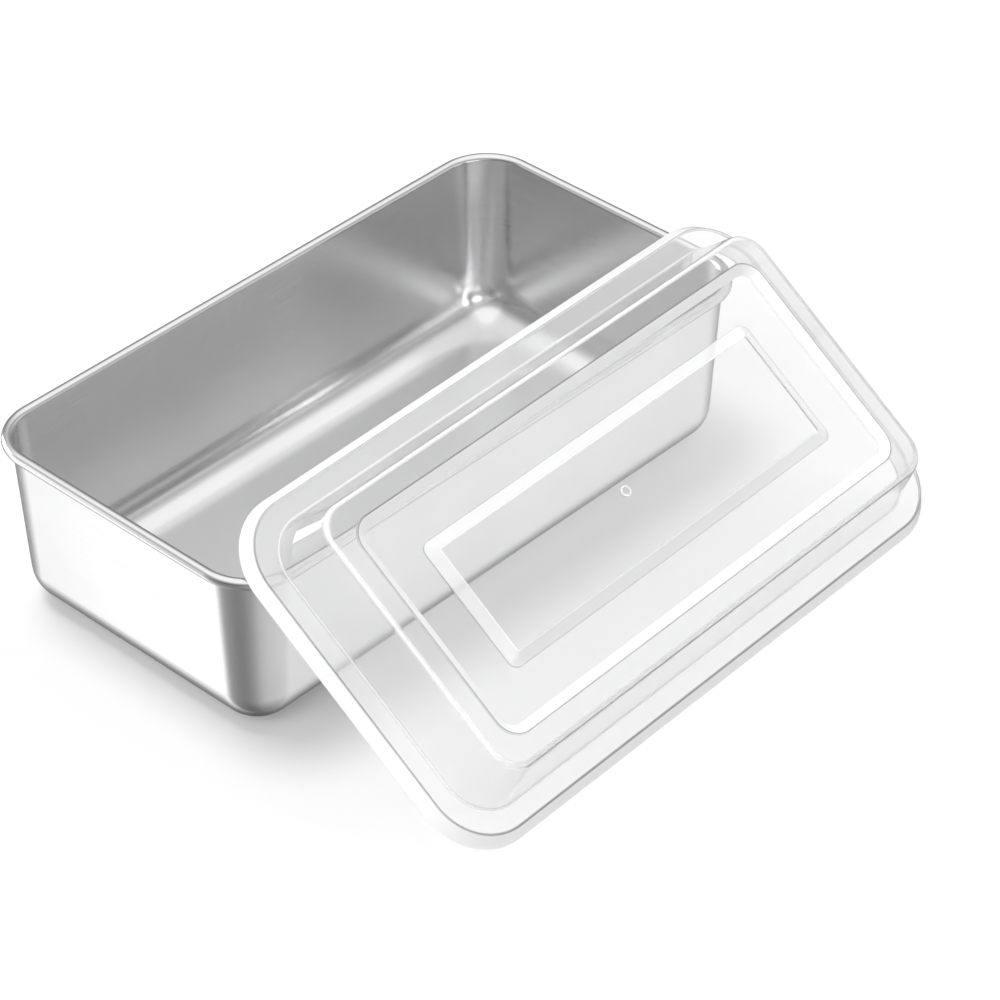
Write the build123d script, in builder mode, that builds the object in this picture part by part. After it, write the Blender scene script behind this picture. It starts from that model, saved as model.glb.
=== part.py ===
from build123d import *
import os
from math import atan, cos, degrees, radians, sin, tan

# Loaf pan of drawn steel with a rolled rim, and its clear domed lid leaning on
# the front rim. Millimetres, +X along the pan, +Y to the back, +Z up.
# The origin is the middle of the pan's flat base.

# Pan
RIM_LENGTH = 250.0
RIM_WIDTH = 132.0
PAN_HEIGHT = 69.0
RIM_CORNER = 21.5
SHEET = 0.7
WALL_DRAFT = radians(3.15)
CURL_RADIUS = 2.0
CURL_TURN = 292.0
BASE_RADIUS = 14.5

# Lid, in its own plane: heights are counted from the top of the flange
LID_LENGTH = 254.0
LID_WIDTH = 136.0
LID_CORNER = 24.0
LID_WALL = 1.0
SKIRT_DROP = 5.0
SKIRT_FLARE = 3.1
FLANGE_EDGE_ROUND = 0.6
DOME_INSET = 10.7
DOME_CORNER = 16.0
DOME_HEIGHT = 22.5
DOME_LEAN = 6.0
SHOULDER_ROUND = 2.0
RECESS_INSET = 25.3
RECESS_CORNER = 8.3
RECESS_DEPTH = 2.0
RECESS_SLOPE = 3.5
PANEL_INSET_LONG = 44.2
PANEL_INSET_SHORT = 43.0
PANEL_CORNER = 3.6
PANEL_TOP_CORNER = 0.6
PANEL_RISE = 2.0
PANEL_SLOPE = 4.4
GATE_X = -4.5
GATE_Y = 1.0
GATE_RING_RADIUS = 2.0
GATE_HOLE_RADIUS = 1.4
GATE_RISE = 0.3

# How the lid leans: its lower long edge at the table, its skirt at the rim, with
# a hair's gap at both
LEAN_ANGLE = 36.1
TABLE_GAP = 0.3
LEAN_YAW = 1.6
LID_CENTRE_X = 8.51
LID_CENTRE_Y = -98.08


# The pan's wall in section, at the middle of the front wall. y runs towards
# the back of the pan and z up. One sheet: floor radius, drafted wall, curl.
curl_y = CURL_RADIUS - RIM_WIDTH / 2
curl_z = PAN_HEIGHT - CURL_RADIUS
draft_sin = sin(WALL_DRAFT)
draft_cos = cos(WALL_DRAFT)


def off_curl(distance, down=0.0):
    """A point on the wall: so far inward from the curl's centre, so far down."""
    y = curl_y + distance * draft_cos + down * draft_sin
    z = curl_z + distance * draft_sin - down * draft_cos
    return (y, z)


curl_inner_radius = CURL_RADIUS - SHEET
wall_run = (curl_z + (curl_inner_radius + BASE_RADIUS) * draft_sin - BASE_RADIUS) / draft_cos
base_arc_y, base_arc_z = off_curl(curl_inner_radius + BASE_RADIUS, wall_run)
wall_angle = degrees(WALL_DRAFT)
floor_half_width = -base_arc_y
floor_half_length = floor_half_width + (RIM_LENGTH - RIM_WIDTH) / 2
floor_corner = RIM_CORNER - (RIM_WIDTH / 2 - floor_half_width)

with BuildPart() as pan:
    with BuildLine() as rim_line:
        straight_x = RIM_LENGTH / 2 - RIM_CORNER
        straight_y = RIM_WIDTH / 2 - RIM_CORNER
        Line((0, -RIM_WIDTH / 2), (straight_x, -RIM_WIDTH / 2))
        CenterArc((straight_x, -straight_y), RIM_CORNER, -90, 90)
        Line((RIM_LENGTH / 2, -straight_y), (RIM_LENGTH / 2, straight_y))
        CenterArc((straight_x, straight_y), RIM_CORNER, 0, 90)
        Line((straight_x, RIM_WIDTH / 2), (-straight_x, RIM_WIDTH / 2))
        CenterArc((-straight_x, straight_y), RIM_CORNER, 90, 90)
        Line((-RIM_LENGTH / 2, straight_y), (-RIM_LENGTH / 2, -straight_y))
        CenterArc((-straight_x, -straight_y), RIM_CORNER, 180, 90)
        Line((-straight_x, -RIM_WIDTH / 2), (0, -RIM_WIDTH / 2))

    # Skilled feature: the sheet rises from its floor radius and rolls outward
    # over the top into an open curl, all round the rounded rectangle
    with BuildSketch(Plane.YZ) as wall_section:
        with BuildLine():
            outer_curl = CenterArc((curl_y, curl_z), CURL_RADIUS, wall_angle, CURL_TURN)
            inner_curl = CenterArc((curl_y, curl_z), curl_inner_radius, wall_angle, CURL_TURN)
            Line(outer_curl @ 1, inner_curl @ 1)
            Line(off_curl(CURL_RADIUS), off_curl(CURL_RADIUS, wall_run))
            Line(off_curl(curl_inner_radius), off_curl(curl_inner_radius, wall_run))
            inner_arc = CenterArc(
                (base_arc_y, base_arc_z), BASE_RADIUS - SHEET, 180 + wall_angle, 90 - wall_angle
            )
            outer_arc = CenterArc(
                (base_arc_y, base_arc_z), BASE_RADIUS, 180 + wall_angle, 90 - wall_angle
            )
            Line(inner_arc @ 1, outer_arc @ 1)
        make_face()
    sweep(path=rim_line.wire())

    # The flat floor inside the floor radius
    with BuildSketch(Plane.XY):
        RectangleRounded(2 * floor_half_length, 2 * floor_half_width, floor_corner)
    extrude(amount=SHEET)

pan.part.label = "pan"

# The lid's own plane: x along the lid, y up the slope, z out of the dome
lean = radians(LEAN_ANGLE)
lid_centre_z = LID_WIDTH / 2 * sin(lean) + SKIRT_DROP * cos(lean) + TABLE_GAP
lid_turn = Location((LID_CENTRE_X, LID_CENTRE_Y, lid_centre_z), (0, 0, LEAN_YAW))
lid_plane = Plane(lid_turn * Location((0, 0, 0), (LEAN_ANGLE, 0, 0)))


def frame_shape(inset_long, inset_short, corner):
    """A rounded rectangle so far inside the lid's outline."""
    RectangleRounded(LID_LENGTH - 2 * inset_long, LID_WIDTH - 2 * inset_short, corner)


# Outer surface of the moulding, as a solid
flange_corner = LID_CORNER - SKIRT_FLARE
shoulder_inset = DOME_INSET + DOME_LEAN
with BuildPart() as lid_outside:
    with BuildSketch(lid_plane.offset(-SKIRT_DROP)):
        frame_shape(0, 0, LID_CORNER)
    with BuildSketch(lid_plane):
        frame_shape(SKIRT_FLARE, SKIRT_FLARE, flange_corner)
    loft(ruled=True)
    top_face = lid_outside.faces().sort_by(Axis(lid_plane.origin, lid_plane.z_dir))[-1]
    fillet(top_face.edges(), radius=FLANGE_EDGE_ROUND)

with BuildPart() as dome_outside:
    with BuildSketch(lid_plane.offset(-LID_WALL / 2)):
        foot_inset = DOME_INSET - DOME_LEAN / DOME_HEIGHT * LID_WALL / 2
        frame_shape(foot_inset, foot_inset, DOME_CORNER)
    with BuildSketch(lid_plane.offset(DOME_HEIGHT)):
        frame_shape(shoulder_inset, shoulder_inset, DOME_CORNER - DOME_LEAN)
    loft(ruled=True)
    top_face = dome_outside.faces().sort_by(Axis(lid_plane.origin, lid_plane.z_dir))[-1]
    fillet(top_face.edges(), radius=SHOULDER_ROUND)

# The sunk frame round the top, and the raised panel inside it
recess_floor_inset = RECESS_INSET + RECESS_SLOPE
with BuildPart() as recess:
    with BuildSketch(lid_plane.offset(DOME_HEIGHT)):
        frame_shape(RECESS_INSET, RECESS_INSET, RECESS_CORNER)
    with BuildSketch(lid_plane.offset(DOME_HEIGHT - RECESS_DEPTH)):
        frame_shape(recess_floor_inset, recess_floor_inset, RECESS_CORNER - RECESS_SLOPE)
    loft(ruled=True)

panel_top = DOME_HEIGHT - RECESS_DEPTH + PANEL_RISE
with BuildPart() as panel:
    with BuildSketch(lid_plane.offset(DOME_HEIGHT - RECESS_DEPTH)):
        frame_shape(PANEL_INSET_LONG, PANEL_INSET_SHORT, PANEL_CORNER)
    with BuildSketch(lid_plane.offset(panel_top)):
        frame_shape(PANEL_INSET_LONG + PANEL_SLOPE, PANEL_INSET_SHORT + PANEL_SLOPE, PANEL_TOP_CORNER)
    loft(ruled=True)

# Hollow of the moulding: the same shapes moved in by one wall
skirt_wall = LID_WALL / cos(atan(SKIRT_FLARE / SKIRT_DROP))
dome_wall = LID_WALL / cos(atan(DOME_LEAN / DOME_HEIGHT))
with BuildPart() as skirt_hollow:
    with BuildSketch(lid_plane.offset(-SKIRT_DROP)):
        frame_shape(skirt_wall, skirt_wall, LID_CORNER - skirt_wall)
    with BuildSketch(lid_plane.offset(-LID_WALL)):
        skirt_top = skirt_wall + SKIRT_FLARE * (1 - LID_WALL / SKIRT_DROP)
        frame_shape(skirt_top, skirt_top, LID_CORNER - skirt_top)
    loft(ruled=True)

with BuildPart() as dome_hollow:
    with BuildSketch(lid_plane.offset(-LID_WALL)):
        mouth_inset = DOME_INSET - DOME_LEAN / DOME_HEIGHT * LID_WALL + dome_wall
        frame_shape(mouth_inset, mouth_inset, DOME_CORNER - dome_wall)
    with BuildSketch(lid_plane.offset(DOME_HEIGHT - LID_WALL)):
        roof_inset = shoulder_inset - DOME_LEAN / DOME_HEIGHT * LID_WALL + dome_wall
        frame_shape(roof_inset, roof_inset, DOME_CORNER - DOME_LEAN - dome_wall)
    loft(ruled=True)

recess_step = LID_WALL * tan(atan(RECESS_DEPTH / RECESS_SLOPE) / 2)
with BuildPart() as recess_underside:
    with BuildSketch(lid_plane.offset(DOME_HEIGHT - LID_WALL)):
        inset = RECESS_INSET - recess_step
        frame_shape(inset, inset, RECESS_CORNER + recess_step)
    with BuildSketch(lid_plane.offset(DOME_HEIGHT - RECESS_DEPTH - LID_WALL)):
        inset = recess_floor_inset - recess_step
        frame_shape(inset, inset, RECESS_CORNER - RECESS_SLOPE + recess_step)
    loft(ruled=True)

panel_step = LID_WALL * tan(atan(PANEL_RISE / PANEL_SLOPE) / 2)
with BuildPart() as panel_underside:
    with BuildSketch(lid_plane.offset(DOME_HEIGHT - RECESS_DEPTH - LID_WALL)):
        frame_shape(PANEL_INSET_LONG + panel_step, PANEL_INSET_SHORT + panel_step, PANEL_CORNER)
    with BuildSketch(lid_plane.offset(panel_top - LID_WALL)):
        step = PANEL_SLOPE + panel_step
        frame_shape(PANEL_INSET_LONG + step, PANEL_INSET_SHORT + step, PANEL_TOP_CORNER)
    loft(ruled=True)

with BuildPart() as lid:
    add(lid_outside.part)
    add(dome_outside.part)
    add(recess.part, mode=Mode.SUBTRACT)
    add(panel.part)
    add(skirt_hollow.part, mode=Mode.SUBTRACT)
    add(dome_hollow.part, mode=Mode.SUBTRACT)
    add(recess_underside.part)
    add(recess.part, mode=Mode.SUBTRACT)
    add(panel.part)
    add(panel_underside.part, mode=Mode.SUBTRACT)

    # Ring left by the moulding gate, near the middle of the panel
    with BuildSketch(lid_plane.offset(panel_top)):
        with Locations((GATE_X, GATE_Y)):
            Circle(GATE_RING_RADIUS)
            Circle(GATE_HOLE_RADIUS, mode=Mode.SUBTRACT)
    extrude(amount=GATE_RISE)

lid.part.label = "lid"

os.makedirs("parts", exist_ok=True)
export_step(pan.part, "parts/pan.step")
export_step(lid.part, "parts/lid.step")
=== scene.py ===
# %% [markdown]
# # A loaf pan with its clear lid
#
# The object has two pieces: a pan drawn from one sheet of stainless steel, and
# a domed lid moulded from clear plastic. The CAD model gives the frame, so
# everything here is in its metres: +X along the pan, +Y to the back, +Z up.
# The sizes of the pieces are written in millimetres, which are easier to read,
# and multiplied by MM where they reach Blender.

# %% Load the frame
import bpy
import bmesh
import math
from mathutils import Matrix, Vector


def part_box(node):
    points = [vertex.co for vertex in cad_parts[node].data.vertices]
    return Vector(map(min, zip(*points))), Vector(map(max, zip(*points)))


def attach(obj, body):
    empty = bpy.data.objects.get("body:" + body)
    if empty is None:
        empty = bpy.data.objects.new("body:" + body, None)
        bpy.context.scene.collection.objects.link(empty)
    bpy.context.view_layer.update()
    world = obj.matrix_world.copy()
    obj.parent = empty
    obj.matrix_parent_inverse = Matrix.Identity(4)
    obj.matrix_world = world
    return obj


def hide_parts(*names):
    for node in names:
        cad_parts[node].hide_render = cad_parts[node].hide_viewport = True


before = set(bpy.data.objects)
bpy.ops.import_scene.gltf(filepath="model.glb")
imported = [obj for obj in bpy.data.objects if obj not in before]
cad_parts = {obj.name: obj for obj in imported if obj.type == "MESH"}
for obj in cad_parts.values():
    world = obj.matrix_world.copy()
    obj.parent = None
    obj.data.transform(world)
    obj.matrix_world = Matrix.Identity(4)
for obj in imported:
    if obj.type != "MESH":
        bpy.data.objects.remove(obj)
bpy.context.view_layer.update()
MM = 0.001

# %% [markdown]
# ## Camera
#
# A camera is easiest to place by what it looks at: a target on the table, an
# angle round it, an angle above the horizon and a distance. A long lens far
# away keeps the pan's sides almost parallel, as in a product photograph. The
# lens is worked out from its focal length in pixels of a square picture.

# %% Camera
AZIMUTH = math.radians(-47.108)
ELEVATION = math.radians(37.572)
ROLL = math.radians(-0.085)
DISTANCE = 1.36808
TARGET = Vector((0.032813, -0.027536, 0.0))
SENSOR = 36.0
IMAGE_SIDE = 1000
FOCAL_PIXELS = 3842.67
CLIP_START = 0.05
CLIP_END = 50.0


def way_to(azimuth, elevation):
    """The direction to something that stands round the object at one angle and above it at another."""
    level = math.cos(elevation)
    return Vector((math.sin(azimuth) * level, -math.cos(azimuth) * level, math.sin(elevation)))


back = way_to(AZIMUTH, ELEVATION)
camera = bpy.data.objects.new("camera", bpy.data.cameras.new("camera"))
bpy.context.scene.collection.objects.link(camera)
camera.location = TARGET + back * DISTANCE
look = (-back).to_track_quat("-Z", "Y")
camera.rotation_euler = (look @ Matrix.Rotation(ROLL, 3, "Z").to_quaternion()).to_euler()
camera.data.sensor_width = SENSOR
camera.data.lens = FOCAL_PIXELS * SENSOR / IMAGE_SIDE
camera.data.clip_start = CLIP_START
camera.data.clip_end = CLIP_END
bpy.context.scene.camera = camera
bpy.context.scene.view_settings.view_transform = "Standard"
print("lens", round(camera.data.lens, 1), "mm")

# %% [markdown]
# ## A rule for both pieces
#
# The pan and the lid follow one rule: a section is carried round a rectangle
# with rounded corners. Each point of the section becomes a closed ring, and a
# ring needs four numbers: half its length, half its width, its corner radius
# and its height. Geometry Nodes can make all the rings at once from a grid,
# one row for each ring, which is neater than listing points by hand.
#
# The tree reads the rings from a small mesh with one point per ring. The
# point's position holds the two half sizes and the height, and an attribute
# holds the corner radius. The tree's inputs are that mesh, the number of steps
# round a corner, and the material.

# %% The tree and its inputs
TREE_INPUTS = {
    "Geometry": "NodeSocketGeometry",
    "Corner steps": "NodeSocketInt",
    "Material": "NodeSocketMaterial",
}

ring_tree = bpy.data.node_groups.new("rounded_rings", "GeometryNodeTree")
for input_name, kind in TREE_INPUTS.items():
    ring_tree.interface.new_socket(input_name, in_out="INPUT", socket_type=kind)
ring_tree.interface.new_socket("Geometry", in_out="OUTPUT", socket_type="NodeSocketGeometry")
given = ring_tree.nodes.new("NodeGroupInput")
rings_in = given.outputs["Geometry"]
print("tree inputs:", list(TREE_INPUTS))

# %% [markdown]
# ## Arithmetic with nodes
#
# Most of the tree is arithmetic on the number of each grid point. One helper
# adds a Math node and wires up whatever it is given: another node, one of its
# sockets, or a plain number. It serves the materials later on as well.

# %% Wiring and arithmetic
def socket(value):
    """The node output to link: the first output of a node, or the socket itself."""
    return value.outputs[0] if hasattr(value, "outputs") else value


def wire(tree, value, target):
    """Links a node or socket to an input, or writes a plain value there."""
    if hasattr(value, "outputs") or isinstance(value, bpy.types.NodeSocket):
        tree.links.new(socket(value), target)
    else:
        target.default_value = value


def math_node(tree, operation, *values):
    node = tree.nodes.new("ShaderNodeMath")
    node.operation = operation
    for value, target in zip(values, node.inputs):
        wire(tree, value, target)
    return node


def ring_math(operation, *values):
    return math_node(ring_tree, operation, *values)


corner_points = ring_math("ADD", given.outputs["Corner steps"], 1.0)
print("nodes so far:", len(ring_tree.nodes))

# %% [markdown]
# ## The grid
#
# A corner is an arc of some steps, so it has one point more than that. Four
# corners, and a last point that meets the first, make a row. The straight
# sides between the corners need no points of their own.

# %% A grid row for each ring
CORNERS = 4.0

row_points = ring_math("MULTIPLY_ADD", corner_points, CORNERS, 1.0)
ring_count = ring_tree.nodes.new("GeometryNodeAttributeDomainSize")
ring_tree.links.new(rings_in, ring_count.inputs["Geometry"])
grid = ring_tree.nodes.new("GeometryNodeMeshGrid")
ring_tree.links.new(ring_count.outputs["Point Count"], grid.inputs["Vertices X"])
ring_tree.links.new(socket(row_points), grid.inputs["Vertices Y"])
print("nodes so far:", len(ring_tree.nodes))

# %% [markdown]
# ## Where each point belongs
#
# Blender numbers the grid's points row by row. Divided by the points in a row,
# that number tells the ring. The rest, divided by the points in a corner, tells
# the corner, and what is then left is the step round it, which gives an angle.

# %% Ring, corner and angle
QUARTER_TURN = math.pi / 2
HALF_A_POINT = 0.5


def whole_times(number, size):
    """How often a size goes into a number. The half keeps a rounding error from tipping the result."""
    return ring_math("FLOOR", ring_math("DIVIDE", ring_math("ADD", number, HALF_A_POINT), size))


def left_over(number, times, size):
    return ring_math("SUBTRACT", number, ring_math("MULTIPLY", times, size))


point_number = ring_tree.nodes.new("GeometryNodeInputIndex")
ring_number = whole_times(point_number, row_points)
along = left_over(point_number, ring_number, row_points)
corner_number = whole_times(along, corner_points)
step = left_over(along, corner_number, corner_points)
turns = ring_math("ADD", corner_number, ring_math("DIVIDE", step, given.outputs["Corner steps"]))
angle = ring_math("MULTIPLY", turns, QUARTER_TURN)
print("nodes so far:", len(ring_tree.nodes))

# %% [markdown]
# ## The ring's sizes
#
# Sample Index looks up a value of one ring in the small mesh, by the ring's
# number. Its position comes as a vector and is split into the three sizes. The
# corner radius and the tones are named attributes.

# %% Sizes of a point's ring
def of_ring(field, data_type="FLOAT"):
    """A value of the ring that a grid point belongs to."""
    node = ring_tree.nodes.new("GeometryNodeSampleIndex")
    node.data_type = data_type
    node.domain = "POINT"
    ring_tree.links.new(rings_in, node.inputs["Geometry"])
    ring_tree.links.new(socket(field), node.inputs["Value"])
    ring_tree.links.new(socket(ring_number), node.inputs["Index"])
    return node


def named(name):
    node = ring_tree.nodes.new("GeometryNodeInputNamedAttribute")
    node.data_type = "FLOAT"
    node.inputs["Name"].default_value = name
    return node.outputs["Attribute"]


radius = of_ring(named("corner"))
ring_sizes = ring_tree.nodes.new("ShaderNodeSeparateXYZ")
ring_position = of_ring(ring_tree.nodes.new("GeometryNodeInputPosition"), "FLOAT_VECTOR")
ring_tree.links.new(socket(ring_position), ring_sizes.inputs[0])
half_length, half_width, height = ring_sizes.outputs
print("nodes so far:", len(ring_tree.nodes))

# %% [markdown]
# ## The point's place
#
# The centre of a corner's arc lies inside the ring by the radius, on the side
# where the corner is. From there the point goes out by the radius at its
# angle: by the cosine along the length, and by the sine along the width.

# %% Move the grid onto the rings
corner_middle = ring_math("MULTIPLY_ADD", corner_number, QUARTER_TURN, QUARTER_TURN / 2)


def across(half, swing):
    """The arc's centre plus its radius at the point's angle, with COSINE or SINE as the swing."""
    side = ring_math("SIGN", ring_math(swing, corner_middle))
    centre = ring_math("MULTIPLY", ring_math("SUBTRACT", half, radius), side)
    return ring_math("MULTIPLY_ADD", radius, ring_math(swing, angle), centre)


ring_point = ring_tree.nodes.new("ShaderNodeCombineXYZ")
ring_point_values = (across(half_length, "COSINE"), across(half_width, "SINE"), height)
for value, target in zip(ring_point_values, ring_point.inputs):
    wire(ring_tree, value, target)
moved = ring_tree.nodes.new("GeometryNodeSetPosition")
ring_tree.links.new(grid.outputs["Mesh"], moved.inputs["Geometry"])
ring_tree.links.new(socket(ring_point), moved.inputs["Position"])
print("nodes so far:", len(ring_tree.nodes))

# %% [markdown]
# ## The end of the tree
#
# Two tones travel with the rings to the mesh, where the plastic reads them.
# Frost makes the surface matt white, which is partly a milky finish and partly
# painted highlight, and edge darkens it into painted dark lines. Merging points
# that lie together closes the rings and the ends. The tree then ends with
# Realize Instances and Set Material.

# %% Tones, weld and material
# Frost paints white highlights as matt plastic, and edge paints dark lines.
RING_TONES = ("frost_and_highlight", "edge")
WELD_DISTANCE = 1e-6

carried = moved
for tone_name in RING_TONES:
    stored = ring_tree.nodes.new("GeometryNodeStoreNamedAttribute")
    stored.data_type = "FLOAT"
    stored.domain = "POINT"
    stored.inputs["Name"].default_value = tone_name
    ring_tree.links.new(socket(carried), stored.inputs["Geometry"])
    ring_tree.links.new(socket(of_ring(named(tone_name))), stored.inputs["Value"])
    carried = stored
welded = ring_tree.nodes.new("GeometryNodeMergeByDistance")
welded.inputs["Distance"].default_value = WELD_DISTANCE
ring_tree.links.new(socket(carried), welded.inputs["Geometry"])
realized = ring_tree.nodes.new("GeometryNodeRealizeInstances")
ring_tree.links.new(socket(welded), realized.inputs["Geometry"])
painted = ring_tree.nodes.new("GeometryNodeSetMaterial")
ring_tree.links.new(socket(realized), painted.inputs["Geometry"])
ring_tree.links.new(given.outputs["Material"], painted.inputs["Material"])
result = ring_tree.nodes.new("NodeGroupOutput")
ring_tree.links.new(socket(painted), result.inputs["Geometry"])
print("the ring tree has", len(ring_tree.nodes), "nodes")

# %% [markdown]
# ## From the tree to a plain mesh
#
# The rings are stored as the points of a small mesh on a helper object. The
# tree runs there as a modifier, whose inputs are set by their identifiers. The
# result is copied into an ordinary mesh, and the helper object goes again.

# %% Store the rings and run the tree
def store_rings(name, rings, tones):
    """An object with a point per ring, from (half length, half width, corner radius, height)."""
    sizes = bpy.data.meshes.new(name)
    sizes.from_pydata([(a * MM, b * MM, z * MM) for a, b, r, z in rings], [], [])
    values = {"corner": [r * MM for a, b, r, z in rings]}
    for k, tone_name in enumerate(RING_TONES):
        values[tone_name] = [tone[k] for tone in tones]
    for value_name, numbers in values.items():
        attribute = sizes.attributes.new(value_name, "FLOAT", "POINT")
        attribute.data.foreach_set("value", numbers)
    carrier = bpy.data.objects.new(name, sizes)
    bpy.context.scene.collection.objects.link(carrier)
    return carrier


def run_tree(carrier, steps, material):
    """The mesh that the tree makes of stored rings."""
    modifier = carrier.modifiers.new("rings", "NODES")
    modifier.node_group = ring_tree
    values = {"Corner steps": steps, "Material": material}
    for item in ring_tree.interface.items_tree:
        if item.name in values:
            modifier[item.identifier] = values[item.name]
    evaluated = carrier.evaluated_get(bpy.context.evaluated_depsgraph_get())
    mesh = bpy.data.meshes.new_from_object(evaluated)
    carrier.modifiers.remove(modifier)
    bpy.data.objects.remove(carrier)
    return mesh


identifiers = {item.name: item.identifier for item in ring_tree.interface.items_tree}
print("identifiers:", {name: identifiers[name] for name in ("Corner steps", "Material")})

# %% [markdown]
# ## A closed mesh
#
# Collapsed faces are dissolved, and the rest are turned to face outwards. A
# closed mesh has two faces at every edge and a volume above nought, so both are
# printed. Edges sharper than a set angle stay crisp, and all else is shaded
# smooth.

# %% Close and smooth a mesh
CRISP_ANGLE = math.radians(38)
COLLAPSED = 1e-7
CM3_IN_M3 = 1e6


def close_mesh(mesh):
    """Cleans a mesh and turns its faces outwards. Gives the number of open edges, and the volume."""
    shape = bmesh.new()
    shape.from_mesh(mesh)
    bmesh.ops.dissolve_degenerate(shape, edges=shape.edges, dist=COLLAPSED)
    bmesh.ops.recalc_face_normals(shape, faces=shape.faces)
    if shape.calc_volume(signed=True) < 0:
        bmesh.ops.reverse_faces(shape, faces=shape.faces)
    for face in shape.faces:
        face.smooth = True
    open_edges = sum(1 for edge in shape.edges if len(edge.link_faces) != 2)
    volume = shape.calc_volume()
    shape.to_mesh(mesh)
    shape.free()
    return open_edges, volume


def mesh_of_rings(name, rings, steps, material, place=Matrix.Identity(4), tones=None):
    """A piece from its rings and their tones, turned and moved into place."""
    no_tones = [(0.0,) * len(RING_TONES)] * len(rings)
    mesh = run_tree(store_rings(name + "_rings", rings, tones or no_tones), steps, material)
    mesh.name = name
    open_edges, volume = close_mesh(mesh)
    mesh.transform(place)
    mesh.set_sharp_from_angle(angle=CRISP_ANGLE)
    piece = bpy.data.objects.new(name, mesh)
    bpy.context.scene.collection.objects.link(piece)
    print(name, "has", len(mesh.polygons), "faces and", open_edges, "open edges")
    print("its volume in cm3 is", round(volume * CM3_IN_M3, 3))
    return piece


print("edges stay crisp above", round(math.degrees(CRISP_ANGLE)), "degrees")

# %% [markdown]
# ## Patterns for the finishes
#
# Real surfaces are never quite even. Noise on Object coordinates, stretched one
# way or another, gives polishing lines, cloudy patches and scuffs. Object
# coordinates are metres of the piece itself, so a pattern keeps its real scale.
# Noise seldom leaves the range from NOISE_LOW to NOISE_HIGH, and a Map Range
# node spreads that over the values that are wanted.

# %% Pattern helpers
NOISE_LOW = 0.3
NOISE_HIGH = 0.7


def pattern(tree, scale, stretch=(1, 1, 1), detail=2.0, turn=(0, 0, 0)):
    """Noise on Object coordinates, stretched and turned."""
    where = tree.nodes.new("ShaderNodeTexCoord")
    mapping = tree.nodes.new("ShaderNodeMapping")
    mapping.inputs["Scale"].default_value = stretch
    mapping.inputs["Rotation"].default_value = turn
    noise = tree.nodes.new("ShaderNodeTexNoise")
    noise.inputs["Scale"].default_value = scale
    noise.inputs["Detail"].default_value = detail
    tree.links.new(where.outputs["Object"], mapping.inputs["Vector"])
    tree.links.new(mapping.outputs["Vector"], noise.inputs["Vector"])
    return noise.outputs["Fac"]


def mapped(tree, value, low_in, high_in, low_out, high_out):
    """A value moved from one range to another, and held inside it."""
    node = tree.nodes.new("ShaderNodeMapRange")
    tree.links.new(socket(value), node.inputs["Value"])
    numbers = (low_in, high_in, low_out, high_out)
    for name, number in zip(("From Min", "From Max", "To Min", "To Max"), numbers):
        node.inputs[name].default_value = number
    return node


def bump(tree, height, strength, distance):
    node = tree.nodes.new("ShaderNodeBump")
    node.inputs["Strength"].default_value = strength
    node.inputs["Distance"].default_value = distance
    tree.links.new(socket(height), node.inputs["Height"])
    return node


print("noise is read between", NOISE_LOW, "and", NOISE_HIGH)

# %% [markdown]
# ## A new material
#
# Each finish starts as an empty node tree with an output. Two more helpers mix
# two colours or two shaders, which the finishes, the table and the world need.

# %% Material helpers
def new_material(name):
    material = bpy.data.materials.new(name)
    material.use_nodes = True
    tree = material.node_tree
    tree.nodes.clear()
    return material, tree, tree.nodes.new("ShaderNodeOutputMaterial")


def colour_mix(tree, share, first, second):
    """The first colour, turning into the second as the share goes from nought to one."""
    node = tree.nodes.new("ShaderNodeMix")
    node.data_type = "RGBA"
    tree.links.new(socket(share), node.inputs["Factor"])
    node.inputs["A"].default_value = first
    node.inputs["B"].default_value = second
    return node.outputs["Result"]


def shader_mix(tree, share, first, second):
    """The first shader, turning into the second as the share goes from nought to one."""
    node = tree.nodes.new("ShaderNodeMixShader")
    for value, target in zip((share, first, second), node.inputs):
        tree.links.new(socket(value), target)
    return node


print("materials before the first finish is made:", len(bpy.data.materials))

# %% [markdown]
# ## Bright drawn steel
#
# The sheet is polished before it is pressed, so it mirrors softly. Fine lines
# from polishing run level round the walls, a wider cloudiness comes from
# handling, and short scuffs come from use. They change the roughness and the
# colour a little, and a trace of bump breaks the reflections up.

# %% Steel
DARKER_STEEL = (0.80, 0.80, 0.805, 1.0)
LIGHTER_STEEL = (0.84, 0.84, 0.842, 1.0)
LINE_SCALE = 90.0
LINE_STRETCH = (0.35, 0.35, 22.0)
LINE_BUMP = 0.06
LINE_DEPTH = 0.0002
CLOUD_SCALE = 22.0
SCUFF_SCALE = 60.0
SCUFF_STRETCH = (6.0, 0.5, 1.0)
SCUFF_TURN = (0.0, 0.0, 0.5)
SCUFF_LOW = 0.5
SCUFF_HIGH = 0.8
SCUFF_ROUGH = 0.03
STEEL_SMOOTH = 0.17
STEEL_ROUGH = 0.24


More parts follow.
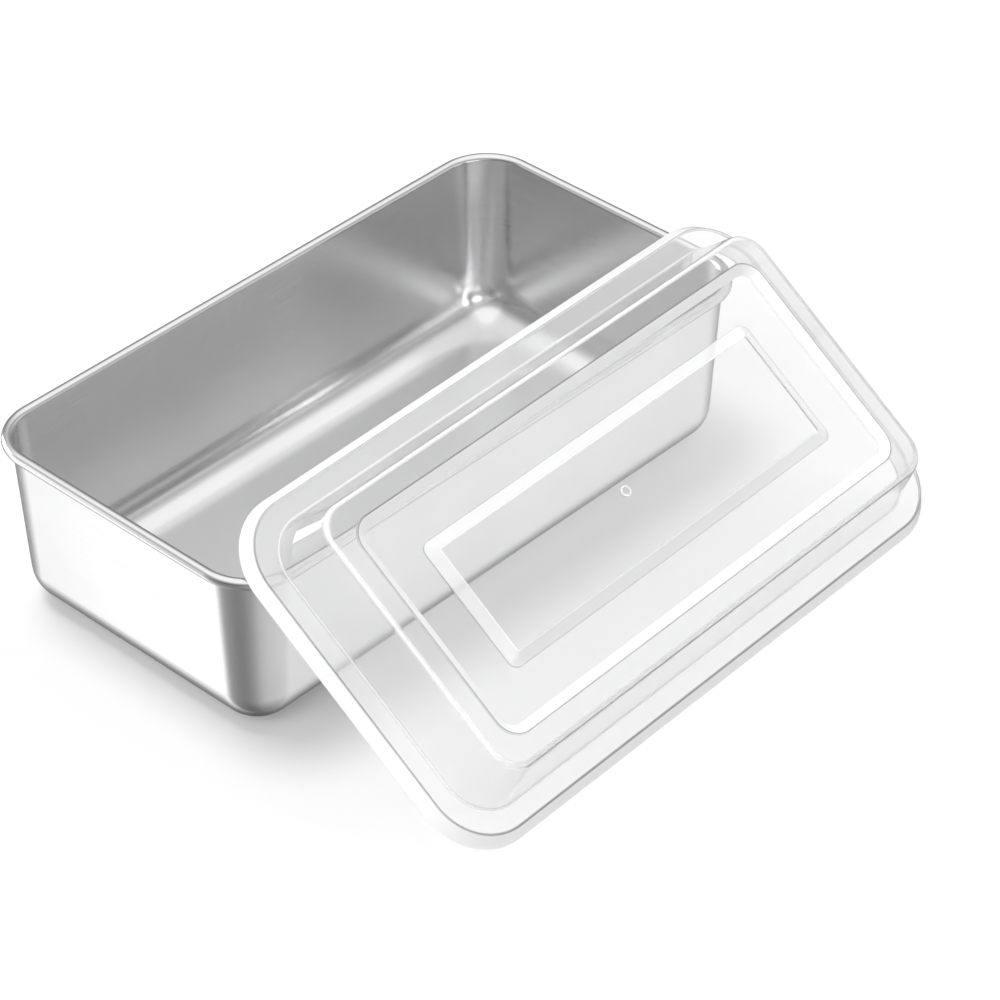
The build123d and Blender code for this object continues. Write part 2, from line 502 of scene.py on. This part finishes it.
def make_steel():
    material, tree, output = new_material("drawn_steel")
    shader = tree.nodes.new("ShaderNodeBsdfPrincipled")
    shader.inputs["Metallic"].default_value = 1.0
    lines = pattern(tree, LINE_SCALE, stretch=LINE_STRETCH, detail=4.0)
    clouds = pattern(tree, CLOUD_SCALE, detail=3.0)
    scuffs = pattern(tree, SCUFF_SCALE, stretch=SCUFF_STRETCH, detail=5.0, turn=SCUFF_TURN)
    cloudiness = mapped(tree, clouds, NOISE_LOW, NOISE_HIGH, 0.0, 1.0)
    tree.links.new(colour_mix(tree, cloudiness, DARKER_STEEL, LIGHTER_STEEL), shader.inputs["Base Color"])
    line_rough = mapped(tree, lines, NOISE_LOW, NOISE_HIGH, STEEL_SMOOTH, STEEL_ROUGH)
    scuff_rough = mapped(tree, scuffs, SCUFF_LOW, SCUFF_HIGH, 0.0, SCUFF_ROUGH)
    tree.links.new(socket(math_node(tree, "ADD", line_rough, scuff_rough)), shader.inputs["Roughness"])
    tree.links.new(socket(bump(tree, lines, LINE_BUMP, LINE_DEPTH)), shader.inputs["Normal"])
    tree.links.new(socket(shader), output.inputs["Surface"])
    return material


steel = make_steel()
print("made", steel.name, "with", len(steel.node_tree.nodes), "nodes")

# %% [markdown]
# ## Clear plastic
#
# The lid is a thin clear moulding with a slight milky haze. A Principled shader
# with transmission lets light through, bends it and mirrors a little of what is
# around. The small share that it doesn't let through is the haze.
#
# A real moulding shows its form by its corners. A tight bend gathers light and
# looks white, or sends the view aside and looks dark. In a thin wall that is
# too fine for a renderer to catch, so the two tones of the rings paint it:
# frost turns clear plastic into matt white, a painted highlight, and edge
# darkens its tint into a painted dark line. Slow waves of bump stand for the
# flow of the plastic.
#
# Cycles gives clear things a full shadow, so shadow rays see an open surface.

# %% Plastic
CLEAR_SHARE = 0.97
# At full frost the plastic lets only this share through and looks matt white: a milky finish, and a painted
# highlight at the bends.
FROSTED_SHARE = 0.10
CLEAR_TINT = (0.995, 0.996, 0.998, 1.0)
# A dark tint, mixed in by the edge tone, paints dark lines at tight bends.
PAINTED_DARK_LINE_TINT = (0.12, 0.125, 0.13, 1.0)
SHADOW_TINT = (0.98, 0.98, 0.98, 1.0)
REFRACTION = 1.49
HAZE_SCALE = 35.0
HAZE_SMOOTH = 0.02
HAZE_ROUGH = 0.06
FROST_ROUGH = 0.12
FLOW_SCALE = 14.0
FLOW_BUMP = 0.05
FLOW_DEPTH = 0.0006


def tone(tree, name):
    """A tone that the rings brought to the mesh."""
    node = tree.nodes.new("ShaderNodeAttribute")
    node.attribute_name = name
    return node.outputs["Fac"]


def make_clear_plastic():
    material, tree, output = new_material("hazy_clear_moulding")
    shader = tree.nodes.new("ShaderNodeBsdfPrincipled")
    shader.inputs["IOR"].default_value = REFRACTION
    frost_and_highlight = tone(tree, "frost_and_highlight")
    # The edge tone mixes in the dark tint, which paints dark lines at tight bends.
    tree.links.new(colour_mix(tree, tone(tree, "edge"), CLEAR_TINT, PAINTED_DARK_LINE_TINT), shader.inputs["Base Color"])
    # Frost lowers the share that goes through, so the plastic turns matt white: a painted highlight where
    # bends would gather light.
    clear = mapped(tree, frost_and_highlight, 0.0, 1.0, CLEAR_SHARE, FROSTED_SHARE)
    tree.links.new(socket(clear), shader.inputs["Transmission Weight"])
    haze = pattern(tree, HAZE_SCALE, detail=3.0)
    haze_rough = mapped(tree, haze, NOISE_LOW, NOISE_HIGH, HAZE_SMOOTH, HAZE_ROUGH)
    rough = math_node(tree, "MULTIPLY_ADD", frost_and_highlight, FROST_ROUGH, haze_rough)
    tree.links.new(socket(rough), shader.inputs["Roughness"])
    flow = bump(tree, pattern(tree, FLOW_SCALE, detail=1.0), FLOW_BUMP, FLOW_DEPTH)
    tree.links.new(socket(flow), shader.inputs["Normal"])
    open_surface = tree.nodes.new("ShaderNodeBsdfTransparent")
    open_surface.inputs["Color"].default_value = SHADOW_TINT
    path = tree.nodes.new("ShaderNodeLightPath")
    seen = shader_mix(tree, path.outputs["Is Shadow Ray"], shader, open_surface)
    tree.links.new(socket(seen), output.inputs["Surface"])
    return material


clear_plastic = make_clear_plastic()
print("made", clear_plastic.name, "with", len(clear_plastic.node_tree.nodes), "nodes")

# %% [markdown]
# ## The pan's section
#
# The pan starts as a flat blank. The press draws it over a punch, which leaves
# a rounded floor edge and walls that lean out by about three degrees, so that
# what is baked slides out. The trimmed edge is then rolled outwards into an
# open curl, which stiffens the rim and hides the cut edge.
#
# The section follows the middle of the sheet from the floor's edge to the end
# of the curl. Each point has the direction across the sheet, so that the two
# faces can be set off by half the sheet to either side. The wall has a point
# just past each arc, which keeps it flat when the mesh is shaded smooth.

# %% Pan section
PAN_HALF_LENGTH = 125.0
PAN_HALF_WIDTH = 66.0
PAN_HEIGHT = 69.0
SHEET = 0.7
DRAFT = math.radians(3.15)
CURL = 2.0
CURL_TURN = math.radians(292)
BASE_RADIUS = 14.5
WALL_SHARES = (0.004, 0.25, 0.5, 0.75, 0.996)
ARC_STEP = math.radians(8)
FEWEST_STEPS = 3
STRAIGHT_DOWN = math.radians(270)


def arc_points(centre, radius, start, end):
    """Points on an arc with their outward directions."""
    count = max(FEWEST_STEPS, round(abs(end - start) / ARC_STEP))
    made = []
    for i in range(count + 1):
        angle = start + (end - start) * i / count
        way = Vector((math.cos(angle), math.sin(angle)))
        made.append((centre + way * radius, way))
    return made


def pan_section():
    """(point, direction) pairs: how far inside the rim's outline, and how high."""
    half = SHEET / 2
    inward = Vector((math.cos(DRAFT), math.sin(DRAFT)))
    down = Vector((math.sin(DRAFT), -math.cos(DRAFT)))
    curl_centre = Vector((CURL, PAN_HEIGHT - CURL))
    reach = CURL - SHEET + BASE_RADIUS
    wall = (curl_centre.y + reach * inward.y - BASE_RADIUS) / math.cos(DRAFT)
    base_centre = curl_centre + inward * reach + down * wall
    base = arc_points(base_centre, BASE_RADIUS - half, STRAIGHT_DOWN, math.pi + DRAFT)
    section = [(point, -way) for point, way in base]
    wall_top = curl_centre + inward * (CURL - half)
    wall_foot = base_centre - inward * (BASE_RADIUS - half)
    for share in WALL_SHARES:
        section.append((wall_foot.lerp(wall_top, share), inward))
    section += arc_points(curl_centre, CURL - half, DRAFT, DRAFT + CURL_TURN)
    return section


print("the pan's section has", len(pan_section()), "points")

# %% [markdown]
# ## The pan
#
# Going once along the inner face and back along the outer one gives the whole
# skin of the sheet as rings. The corner radius shrinks by what a ring lies
# inside the rim, so the corners stay round one middle. A few smaller rings fill
# the flat floor, down to a line along its middle.

# %% Pan
RIM_CORNER = 21.5
PAN_CORNER_STEPS = 20
FLOOR_SHARES = (0.0, 0.5, 0.98)


def pan_ring(point):
    return (PAN_HALF_LENGTH - point.x, PAN_HALF_WIDTH - point.x, RIM_CORNER - point.x, point.y)


def floor_rings(edge):
    """Smaller and smaller rings inside a floor's edge, from the middle outwards."""
    spine = PAN_HALF_LENGTH - PAN_HALF_WIDTH
    return [(spine + edge[1] * s, edge[1] * s, edge[2] * s, edge[3]) for s in FLOOR_SHARES]


def pan_rings():
    half = SHEET / 2
    section = pan_section()
    inner = [pan_ring(point + way * half) for point, way in section]
    outer = [pan_ring(point - way * half) for point, way in reversed(section)]
    return floor_rings(inner[0]) + inner + outer + floor_rings(outer[-1])[::-1]


pan = mesh_of_rings("pan_shell", pan_rings(), PAN_CORNER_STEPS, steel)
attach(pan, "pan")
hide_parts("pan")

# %% [markdown]
# ## The lid's section
#
# The lid is one moulding about a millimetre thick. From outside to inside its
# section is a flared skirt that goes over the rim, a flat flange, the dome's
# leaning wall, a flat border, a sunk frame and a raised panel. The steps stiffen
# the thin plastic and keep the panel from sagging. The section is a chain of
# corners, each with a rounding, that starts at the skirt's lower edge.

# %% Lid section
LID_HALF_LENGTH = 127.0
LID_HALF_WIDTH = 68.0
LID_WALL = 1.0
SKIRT_DROP = 5.0
DOME_TOP = 22.5
FRAME_FLOOR = 20.5
# How far inside the outline each step of the section lies
FLANGE_EDGE = 3.1
DOME_FOOT = 10.7
BORDER_EDGE = 16.7
FRAME_EDGE = 25.3
FRAME_FOOT = 28.8
PANEL_FOOT = 44.2
PANEL_EDGE = 48.6
PANEL_MIDDLE = 66.0
TIGHT = 0.8
# Outer face of the section: how far inside the outline, height above the flange, rounding
LID_SECTION = [
    (0.0, -SKIRT_DROP, 0.0),
    (FLANGE_EDGE, 0.0, TIGHT),
    (DOME_FOOT, 0.0, 1.3),
    (BORDER_EDGE, DOME_TOP, 2.0),
    (FRAME_EDGE, DOME_TOP, TIGHT),
    (FRAME_FOOT, FRAME_FLOOR, TIGHT),
    (PANEL_FOOT, FRAME_FLOOR, TIGHT),
    (PANEL_EDGE, DOME_TOP, TIGHT),
    (PANEL_MIDDLE, DOME_TOP, 0.0),
]


def offset_corners(points, distance):
    """The chain moved sideways by a distance, with its corners where the moved runs meet."""
    made = []
    for i, point in enumerate(points):
        ways = []
        if i > 0:
            ways.append((point - points[i - 1]).normalized())
        if i < len(points) - 1:
            ways.append((points[i + 1] - point).normalized())
        lefts = [Vector((-way.y, way.x)) for way in ways]
        if len(lefts) == 1:
            made.append(point + lefts[0] * distance)
        else:
            half_way = (lefts[0] + lefts[1]).normalized()
            made.append(point + half_way * distance / half_way.dot(lefts[0]))
    return made


lid_middle = offset_corners([Vector(row[:2]) for row in LID_SECTION], -LID_WALL / 2)
print("the lid's section has", len(lid_middle) - 1, "straight runs")

# %% [markdown]
# ## Rounding a chain
#
# Each inner corner of the chain becomes an arc. A point just before and just
# after it keeps the straight runs flat when the mesh is shaded smooth. Every
# point is given the direction across the wall, and its place: a whole number on
# a run, and a number between two runs while it goes round a corner.

# %% Rounded chain
GUARD = 0.18


def rounded_chain(corners, radii):
    """(point, left-hand normal, place) along a chain whose inner corners are rounded."""
    first = (corners[1] - corners[0]).normalized()
    made = [(corners[0], Vector((-first.y, first.x)), 0)]
    for k, (before, here, after, radius) in enumerate(zip(corners, corners[1:], corners[2:], radii)):
        way_in, way_out = (here - before).normalized(), (after - here).normalized()
        left_in, left_out = Vector((-way_in.y, way_in.x)), Vector((-way_out.y, way_out.x))
        turn = way_in.angle_signed(way_out)
        cut = radius * math.tan(abs(turn) / 2)
        side = 1.0 if turn < 0 else -1.0
        centre = here - way_in * cut + left_in * side * radius
        made.append((here - way_in * (cut + GUARD), left_in, k))
        count = max(FEWEST_STEPS, round(abs(turn) / ARC_STEP))
        for i in range(count + 1):
            swing = left_in.copy()
            swing.rotate(Matrix.Rotation(-turn * i / count, 2))
            made.append((centre - swing * side * radius, swing, k + (i + 0.5) / (count + 1)))
        made.append((here + way_out * (cut + GUARD), left_out, k + 1))
    last = (corners[-1] - corners[-2]).normalized()
    made.append((corners[-1], Vector((-last.y, last.x)), len(radii)))
    return made


lid_chain = rounded_chain(lid_middle, [row[2] for row in LID_SECTION[1:-1]])
print("rounded, the lid's section has", len(lid_chain), "points")

# %% [markdown]
# ## The lid's tones
#
# The skirt and the sunk frame's outer wall catch the light, so frost paints
# their runs matt white or almost so, as a painted highlight. The flange and the
# panel's wall are a little frosted, and the other runs are nearly clear. The
# corners between them are painted as lines. White ones, painted highlights, run
# along the foot and the top of the dome's wall, at the bottom of the frame's
# outer wall and round the panel. Dark ones, painted by the edge tone where a bend
# sends the view aside, run between the skirt and the flange, where the frame goes
# down, and at the foot of the panel's wall. A line is strongest half way round
# its corner.

# %% Tones along the section
# For each run, then for each corner: (frost, which paints white highlights, and edge, which paints dark
# lines)
RUN_TONES = [
    (0.9, 0.0),
    (0.25, 0.0),
    (0.10, 0.0),
    (0.05, 0.0),
    (1.0, 0.0),
    (0.0, 0.0),
    (0.38, 0.0),
    (0.0, 0.0),
]
CORNER_TONES = [
    (0.2, 0.9),
    (0.6, 0.1),
    (1.0, 0.0),
    (0.1, 1.0),
    (1.0, 0.0),
    (0.1, 1.0),
    (1.0, 0.0),
]


def tone_at(place):
    """The tones of a run, or inside a corner a blend that is strongest half way round it."""
    k, share = int(place), place % 1
    if not share:
        return RUN_TONES[k]
    run = RUN_TONES[k] if share < 0.5 else RUN_TONES[k + 1]
    strength = (1 - abs(2 * share - 1)) ** 2
    return tuple(a + (b - a) * strength for a, b in zip(run, CORNER_TONES[k]))


lid_tones = [tone_at(place) for point, normal, place in lid_chain]
print("strongest frost and edge:", [round(max(column), 2) for column in zip(*lid_tones)])

# %% [markdown]
# ## The lid's rings
#
# The lid's corners get tighter from the skirt to the panel. A short table gives
# the radius at each step of the section, and values between two rows are read
# off along a straight line. The raised panel is a little wider than the steps
# outside it suggest, so a second table widens its rings.
#
# The skirt's lower edge is cut level, so the two faces end at one height there.
# At the other end both faces close along a line in the middle of the panel.

# %% Lid rings
TABLE_END = 70.0
PANEL_WIDER = 1.2
LID_CORNERS = [
    (0.0, 24.0),
    (FLANGE_EDGE, 20.9),
    (DOME_FOOT, 16.0),
    (BORDER_EDGE, 10.0),
    (FRAME_EDGE, 8.3),
    (FRAME_FOOT, 4.8),
    (PANEL_FOOT, 3.6),
    (PANEL_EDGE, 0.6),
    (TABLE_END, 0.0),
]
LID_WIDENING = [(0.0, 0.0), (FRAME_FOOT, 0.0), (PANEL_FOOT, PANEL_WIDER), (TABLE_END, PANEL_WIDER)]


def read_off(table, value):
    """The table's value between its two nearest rows."""
    for (x0, y0), (x1, y1) in zip(table, table[1:]):
        if value <= x1:
            share = max(0.0, (value - x0) / (x1 - x0))
            return y0 + (y1 - y0) * share
    return table[-1][1]


def lid_ring(point):
    inset = point.x
    width = LID_HALF_WIDTH - inset + read_off(LID_WIDENING, inset)
    return (LID_HALF_LENGTH - inset, width, max(0.0, read_off(LID_CORNERS, inset)), point.y)


def closed_end(ring):
    """A ring with no width: the line that a ring closes to in the middle."""
    return (ring[0] - ring[1], 0.0, 0.0, ring[3])


def lid_rings():
    """All rings, from the middle of the under face, round the skirt, to the middle of the upper one."""
    upper = [point + normal * LID_WALL / 2 for point, normal, place in lid_chain]
    lower = [point - normal * LID_WALL / 2 for point, normal, place in lid_chain]
    upper[0] = Vector((0.0, -SKIRT_DROP))
    lower[0] = Vector((LID_WALL * math.hypot(1, FLANGE_EDGE / SKIRT_DROP), -SKIRT_DROP))
    over = [lid_ring(point) for point in upper[:-1]]
    under = [lid_ring(point) for point in lower[:-1]]
    return [closed_end(under[-1])] + under[::-1] + over + [closed_end(over[-1])]


lid_ring_tones = lid_tones[::-1] + lid_tones
print("lid rings:", len(lid_rings()), "with", len(lid_ring_tones), "tones")

# %% [markdown]
# ## The lid in its place
#
# The lid leans on the pan's front rim with its lower edge on the table. Its
# rings are made flat, and the finished mesh is then turned and moved: first the
# lean, then a slight turn, then up until the lower edge clears the table.

# %% Lid
LEAN = math.radians(36.1)
YAW = math.radians(1.6)
TABLE_GAP = 0.3
LID_X = 8.51
LID_Y = -98.08
LID_CORNER_STEPS = 14

lid_height = LID_HALF_WIDTH * math.sin(LEAN) + SKIRT_DROP * math.cos(LEAN) + TABLE_GAP
lid_place = (
    Matrix.Translation(Vector((LID_X, LID_Y, lid_height)) * MM)
    @ Matrix.Rotation(YAW, 4, "Z")
    @ Matrix.Rotation(LEAN, 4, "X")
)
lid = mesh_of_rings("lid_moulding", lid_rings(), LID_CORNER_STEPS, clear_plastic, lid_place, lid_ring_tones)
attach(lid, "lid")
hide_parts("lid")

# %% [markdown]
# ## The moulding gate
#
# The plastic enters the mould at the middle of the panel. The spot where it was
# cut off stays as a small raised ring. It is matt, so it catches the light.
# The same rule makes it: rings whose sizes are all equal are circles, and the
# last one repeats the first, which closes the loop.

# %% Moulding gate ring
GATE_X = -4.5
GATE_Y = 1.0
GATE_OUTSIDE = 2.0
GATE_INSIDE = 1.4
GATE_LOW = 22.52
GATE_TOP = 22.78
GATE_CORNER_STEPS = 8
GATE_TONE = (0.6, 0.0)

gate_outline = [
    (GATE_OUTSIDE, GATE_LOW),
    (GATE_OUTSIDE, GATE_TOP),
    (GATE_INSIDE, GATE_TOP),
    (GATE_INSIDE, GATE_LOW),
    (GATE_OUTSIDE, GATE_LOW),
]
gate_rings = [(size, size, size, level) for size, level in gate_outline]
gate_place = lid_place @ Matrix.Translation(Vector((GATE_X, GATE_Y, 0)) * MM)
gate_tones = [GATE_TONE] * len(gate_rings)
gate = mesh_of_rings("gate_ring", gate_rings, GATE_CORNER_STEPS, clear_plastic, gate_place, gate_tones)
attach(gate, "lid")

# %% [markdown]
# ## Does the lid fit its solid?
#
# The lid's mesh is made from its own section here, so it is worth a look
# whether it fills the same box as the CAD solid that it replaces.

# %% Check the lid's box
solid_low, solid_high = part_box("lid")
lid_points = [vertex.co for vertex in lid.data.vertices]
lid_low = [min(point[k] for point in lid_points) for k in range(3)]
lid_high = [max(point[k] for point in lid_points) for k in range(3)]
print("lid's CAD box in mm:", [round(v / MM, 2) for v in (*solid_low, *solid_high)])
print("lid's mesh in mm:   ", [round(v / MM, 2) for v in (*lid_low, *lid_high)])

# %% [markdown]
# ## Which ray is it?
#
# In Cycles a material can answer rays in different ways, and Light Path tells
# them apart. Two kinds matter here. One is a ray that shows something to the
# camera, straight or through the lid. Once a path has lit something matt, its
# rays no longer count as this kind, even where they go through the lid. The
# other kind comes off something shiny. The lid marks the rays that it lets
# through as glossy too, so those are taken out of it.

# %% Kinds of rays
ONE_BOUNCE = 0.5


def first_seen(tree, path):
    """One for a ray from the camera, straight or through the lid, and nought once it has lit something."""
    clear = math_node(tree, "MAXIMUM", path.outputs["Is Camera Ray"], path.outputs["Is Transmission Ray"])
    unlit = math_node(tree, "LESS_THAN", path.outputs["Diffuse Depth"], ONE_BOUNCE)
    return math_node(tree, "MULTIPLY", clear, unlit)


def mirror_ray(tree, path):
    """One for a ray that bounced off something shiny, and nought for one that went through the lid."""
    not_through = math_node(tree, "SUBTRACT", 1.0, path.outputs["Is Transmission Ray"])
    return math_node(tree, "MULTIPLY", path.outputs["Is Glossy Ray"], not_through)


print("a ray is unlit below a diffuse depth of", ONE_BOUNCE)

# %% [markdown]
# ## The table's finish
#
# The table is white and matt, and keeps the soft shadows. A share of plain
# white is added where the camera sees it, more of it through the lid, because
# clear plastic takes some light away. Shiny pieces hardly see the table: most
# of their rays pass through it to the world's cards, which draw the bands on
# the steel.

# %% Table finish
TABLE_COLOUR = (0.95, 0.95, 0.95, 1.0)
TABLE_ROUGH = 0.35
PLAIN_WHITE = 1.0
TABLE_WHITE_SHARE = 0.05
TABLE_WHITE_THROUGH = 0.40
TABLE_MIRROR_SHARE = 0.85


def make_table_finish():
    material, tree, output = new_material("white_table")
    matt = tree.nodes.new("ShaderNodeBsdfPrincipled")
    matt.inputs["Base Color"].default_value = TABLE_COLOUR
    matt.inputs["Roughness"].default_value = TABLE_ROUGH
    white = tree.nodes.new("ShaderNodeEmission")
    white.inputs["Strength"].default_value = PLAIN_WHITE
    path = tree.nodes.new("ShaderNodeLightPath")
    more = TABLE_WHITE_THROUGH - TABLE_WHITE_SHARE
    share = math_node(tree, "MULTIPLY_ADD", path.outputs["Is Transmission Ray"], more, TABLE_WHITE_SHARE)
    share = math_node(tree, "MULTIPLY", first_seen(tree, path), share)
    lifted = shader_mix(tree, share, matt, white)
    passed = math_node(tree, "MULTIPLY", mirror_ray(tree, path), TABLE_MIRROR_SHARE)
    surface = shader_mix(tree, passed, lifted, tree.nodes.new("ShaderNodeBsdfTransparent"))
    tree.links.new(socket(surface), output.inputs["Surface"])
    return material


table_finish = make_table_finish()
print("made", table_finish.name, "with", len(table_finish.node_tree.nodes), "nodes")

# %% [markdown]
# ## The table
#
# One large square is enough, as long as it reaches past the edges of the
# picture.

# %% Table
TABLE_HALF = 3.0

table_corners = [
    (side_x * TABLE_HALF, side_y * TABLE_HALF, 0.0)
    for side_x, side_y in ((-1, -1), (1, -1), (1, 1), (-1, 1))
]
table_mesh = bpy.data.meshes.new("table")
table_mesh.from_pydata(table_corners, [], [(0, 1, 2, 3)])
table_mesh.materials.append(table_finish)
table = bpy.data.objects.new("table", table_mesh)
bpy.context.scene.collection.objects.link(table)
print("table side in m:", 2 * TABLE_HALF)

# %% [markdown]
# ## What the steel mirrors
#
# A polished pan shows the room more than its own colour. A photographer stands
# pale and dark cards round it. Here they are two rows of brightness in the
# world. The first goes once round the pan, for rays that leave the steel low.
# Its brightest card is at the back on the left, where the left wall mirrors it,
# and a wide pale one at the front on the right serves the front wall. The dark
# on the left draws a stripe beside the near corner, and the dark at the back on
# the right draws a line along the rolled rim. The second row goes from the
# horizon up, for rays that leave the steel upwards.
#
# A colour ramp stores no number above one, so the brightness is divided by a
# limit and multiplied again behind the ramp.

# %% Cards round the pan
# Share of a turn round the vertical, from the left by way of the front, and brightness
CARDS_ROUND = [
    (0.0, 0.12), (0.019, 0.09), (0.066, 0.12), (0.119, 0.28), (0.161, 0.50),
    (0.208, 0.62), (0.339, 0.74), (0.391, 1.0), (0.457, 0.70), (0.54, 0.30),
    (0.62, 0.12), (0.71, 0.20), (0.77, 0.33), (0.815, 0.80), (0.842, 1.2),
    (0.862, 1.5), (0.881, 1.5), (0.893, 0.98), (0.905, 0.64), (0.924, 0.28),
    (0.96, 0.18), (1.0, 0.13),
]
# Sine of the height above the horizon, and brightness
CARDS_UP = [(0.0, 0.45), (0.45, 0.40), (0.55, 0.50), (0.65, 0.66), (0.75, 1.1), (1.0, 1.15)]
CARD_LIMIT = 1.5


def brightness_ramp(tree, value, stops):
    """A grey ramp whose brightness may pass one."""
    node = tree.nodes.new("ShaderNodeValToRGB")
    ramp = node.color_ramp
    while len(ramp.elements) < len(stops):
        ramp.elements.new(0.5)
    for element, (place, level) in zip(ramp.elements, stops):
        grey = level / CARD_LIMIT
        element.position = place
        element.color = (grey, grey, grey, 1.0)
    tree.links.new(socket(value), node.inputs["Fac"])
    return math_node(tree, "MULTIPLY", node.outputs["Color"], CARD_LIMIT)


print("card stops:", len(CARDS_ROUND), "round the pan and", len(CARDS_UP), "upwards")

# %% [markdown]
# ## From the ray to the card
#
# The world's Generated coordinate is the ray's direction. Its level part gives
# the turn round the pan, and its upright part tells how steeply the ray goes up
# or down. Rays that go steeply down are dimmed, because little light reaches
# the table close to the pan. Between two steps upwards the round cards change
# over to the upper ones.

# %% Card seen by a ray
DIM_BELOW = -0.71
DIM_SHARE = 0.2
CHANGE_LOW = 0.15
CHANGE_HIGH = 0.45


def card_brightness(tree):
    """Brightness of the card in a ray's direction."""
    where = tree.nodes.new("ShaderNodeTexCoord")
    direction = tree.nodes.new("ShaderNodeSeparateXYZ")
    tree.links.new(where.outputs["Generated"], direction.inputs[0])
    east, north, up = direction.outputs
    turn = math_node(tree, "MULTIPLY_ADD", math_node(tree, "ARCTAN2", north, east), 1 / math.tau, 0.5)
    dimming = mapped(tree, up, -1.0, DIM_BELOW, DIM_SHARE, 1.0)
    low_card = math_node(tree, "MULTIPLY", brightness_ramp(tree, turn, CARDS_ROUND), dimming)
    high_card = brightness_ramp(tree, up, CARDS_UP)
    change = mapped(tree, up, CHANGE_LOW, CHANGE_HIGH, 0.0, 1.0)
    gap = math_node(tree, "SUBTRACT", high_card, low_card)
    return math_node(tree, "MULTIPLY_ADD", gap, change, low_card)


print("the cards change over between", CHANGE_LOW, "and", CHANGE_HIGH)

# %% [markdown]
# ## The world
#
# Shiny rays see the cards, rays that show something to the camera see plain
# white, and all others see a weak even light, which softens the shadows.

# %% World
EVEN_LIGHT = 0.30


def background(tree, strength):
    """White light of a fixed strength, or of one that other nodes work out."""
    node = tree.nodes.new("ShaderNodeBackground")
    node.inputs["Color"].default_value = (1.0, 1.0, 1.0, 1.0)
    wire(tree, strength, node.inputs["Strength"])
    return node


world = bpy.data.worlds.new("studio")
bpy.context.scene.world = world
world.use_nodes = True
sky = world.node_tree
sky.nodes.clear()
sky_path = sky.nodes.new("ShaderNodeLightPath")
even_light = background(sky, EVEN_LIGHT)
cards = background(sky, card_brightness(sky))
plain_white = background(sky, PLAIN_WHITE)
lit = shader_mix(sky, mirror_ray(sky, sky_path), even_light, cards)
shown = shader_mix(sky, first_seen(sky, sky_path), lit, plain_white)
sky_output = sky.nodes.new("ShaderNodeOutputWorld")
sky.links.new(socket(shown), sky_output.inputs["Surface"])
print("the world has", len(sky.nodes), "nodes")

# %% [markdown]
# ## Lamps
#
# Suns with a wide angle act as large soft lamps far away. The key stands almost
# overhead and a little to the back, so the pan's shadow stays soft and narrow.
# The left fill keeps the table bright on the pan's left. The right fill casts
# no shadow: it lifts the whole table evenly and brightens the faces of the lid
# that look to the right. The suns don't show in shiny or clear pieces, where
# the cards take their place.
#
# The window is the opposite. It gives no light and only shows as one bright
# patch in what mirrors, as on the wall of the lid's dome.

# %% Lamps
WINDOW_PLACE = Vector((-0.41, 1.44, 0.30))
WINDOW_AIM = Vector((-0.10, -0.02, 0.08))
WINDOW_WIDTH = 0.60
WINDOW_HEIGHT = 0.80
WINDOW_POWER = 9.7


def add_lamp(name, light, facing):
    lamp = bpy.data.objects.new(name, light)
    bpy.context.scene.collection.objects.link(lamp)
    lamp.rotation_euler = facing.to_track_quat("-Z", "Y").to_euler()
    lamp.visible_transmission = False
    return lamp


def soft_sun(name, azimuth, elevation, spread, strength, shadow=True):
    """A soft lamp far away. Two angles in degrees tell where it stands, as for the camera."""
    light = bpy.data.lights.new(name, "SUN")
    light.energy = strength
    light.angle = math.radians(spread)
    light.use_shadow = shadow
    lamp = add_lamp(name, light, -way_to(math.radians(azimuth), math.radians(elevation)))
    lamp.visible_glossy = False


soft_sun("key_sun", azimuth=195.0, elevation=76.0, spread=24.0, strength=1.5)
soft_sun("left_fill", azimuth=-88.0, elevation=42.0, spread=50.0, strength=1.25)
soft_sun("right_fill", azimuth=80.0, elevation=45.0, spread=60.0, strength=0.8, shadow=False)
card = bpy.data.lights.new("window_card", "AREA")
card.shape = "RECTANGLE"
card.size = WINDOW_WIDTH
card.size_y = WINDOW_HEIGHT
card.energy = WINDOW_POWER
window = add_lamp("window_card", card, WINDOW_AIM - WINDOW_PLACE)
window.location = WINDOW_PLACE
window.visible_diffuse = False
window.visible_camera = False
